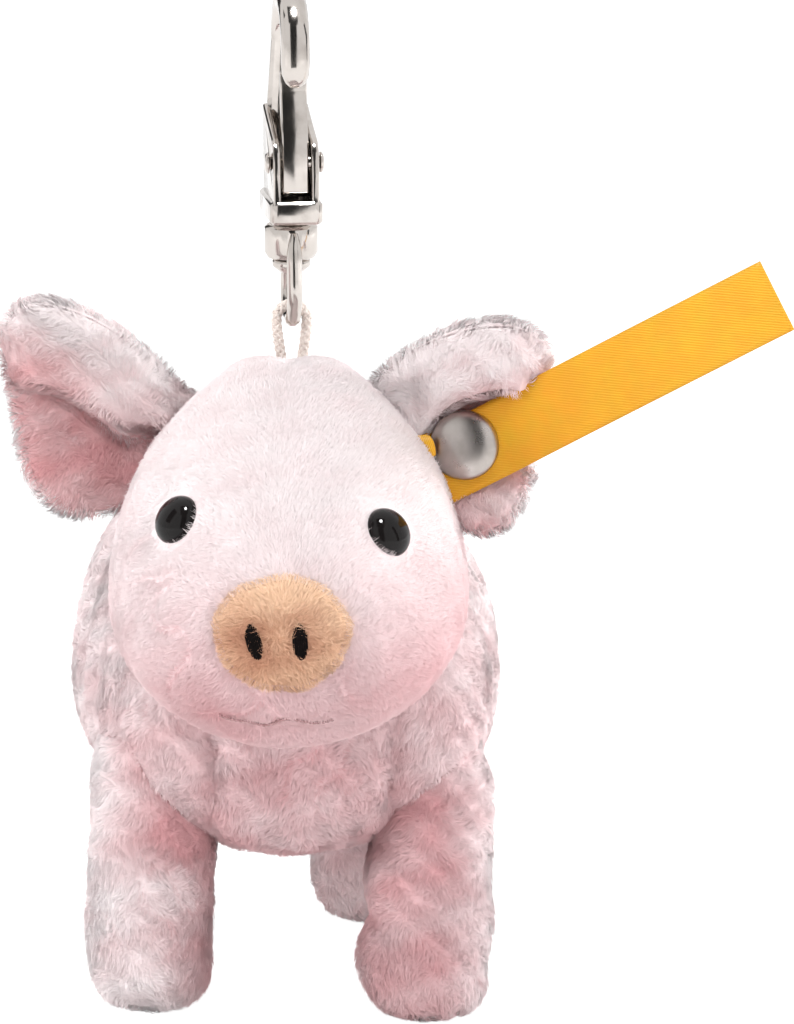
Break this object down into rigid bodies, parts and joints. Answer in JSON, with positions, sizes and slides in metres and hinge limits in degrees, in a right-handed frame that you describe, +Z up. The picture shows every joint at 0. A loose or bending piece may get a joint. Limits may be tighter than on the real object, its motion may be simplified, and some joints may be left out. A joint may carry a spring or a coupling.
{
  "type": "plush pig bag charm",
  "caption": "Standing plush pig bag charm: stuffed covers, bead eyes, folded ears and a bare ribbon tag, hung by a sewn-in cord loop on a swivelling trigger snap hook.",
  "frame": {"origin": "inner top of the snap hook's bow, where the hook rests on what it hangs from", "axes": "+Z up, -Y the way the pig's body faces, +X the pig's left; the soles are at z = -125.4 mm"},
  "size_m": [0.0921, 0.1035, 0.1284],
  "materials": {
    "pink_plush": "matte",
    "ear_plush": "matte",
    "snout_plush": "matte",
    "wadding": "matte",
    "black_thread": "matte",
    "rose_thread": "matte",
    "cream_cord": "matte",
    "yellow_ribbon": "satin",
    "eye_black": "gloss",
    "washer_plastic": "matte",
    "button_steel": "satin",
    "nickel": "polished",
    "spring_steel": "satin"
  },
  "bodies": {
    "hook": {"hook_body": "nickel", "gate_pin": "nickel", "gate_spring": "spring_steel", "swivel_rivet": "nickel"},
    "gate": {"hook_gate": "nickel"},
    "swivel": {"swivel_eye": "nickel"},
    "loop": {"hang_loop": "cream_cord"},
    "pig": {"head_cover": "pink_plush", "head_filling": "wadding", "body_cover": "pink_plush", "body_filling": "wadding", "front_leg_left_cover": "pink_plush", "front_leg_left_filling": "wadding", "front_leg_right_cover": "pink_plush", "front_leg_right_filling": "wadding", "hind_leg_left_cover": "pink_plush", "hind_leg_left_filling": "wadding", "hind_leg_right_cover": "pink_plush", "hind_leg_right_filling": "wadding", "ear_left_outer": "pink_plush", "ear_left_lining": "ear_plush", "ear_right_outer": "pink_plush", "ear_right_lining": "ear_plush", "snout_disc": "snout_plush", "nostril_left": "black_thread", "nostril_right": "black_thread", "mouth_stitch": "rose_thread", "eye_left": "eye_black", "eye_right": "eye_black", "eye_washer_left": "washer_plastic", "eye_washer_right": "washer_plastic", "tail": "pink_plush", "ear_ribbon": "yellow_ribbon", "ribbon_button": "button_steel", "button_washer": "button_steel"}
  },
  "joints": [
    {"name": "gate_open", "type": "hinge", "parent": "hook", "child": "gate", "pos_m": [0, -0.0037, -0.0179], "axis": [-1, 0, 0], "range_deg": [0, 28], "stiffness_Nm_per_rad": 0.01, "springref_deg": -17.19, "deforming": ["gate_spring"]},
    {"name": "hook_swivel", "type": "hinge", "parent": "hook", "child": "swivel", "pos_m": [0, 0, -0.026], "axis": [0, 0, 1], "continuous": true},
    {"name": "loop_swing", "type": "hinge", "parent": "swivel", "child": "loop", "pos_m": [0, 0, -0.0379], "axis": [0, 1, 0], "range_deg": [-30, 30]},
    {"name": "pig_rock", "type": "hinge", "parent": "loop", "child": "pig", "pos_m": [0, 0, -0.0448], "axis": [1, 0, 0], "range_deg": [-25, 25]}
  ]
}
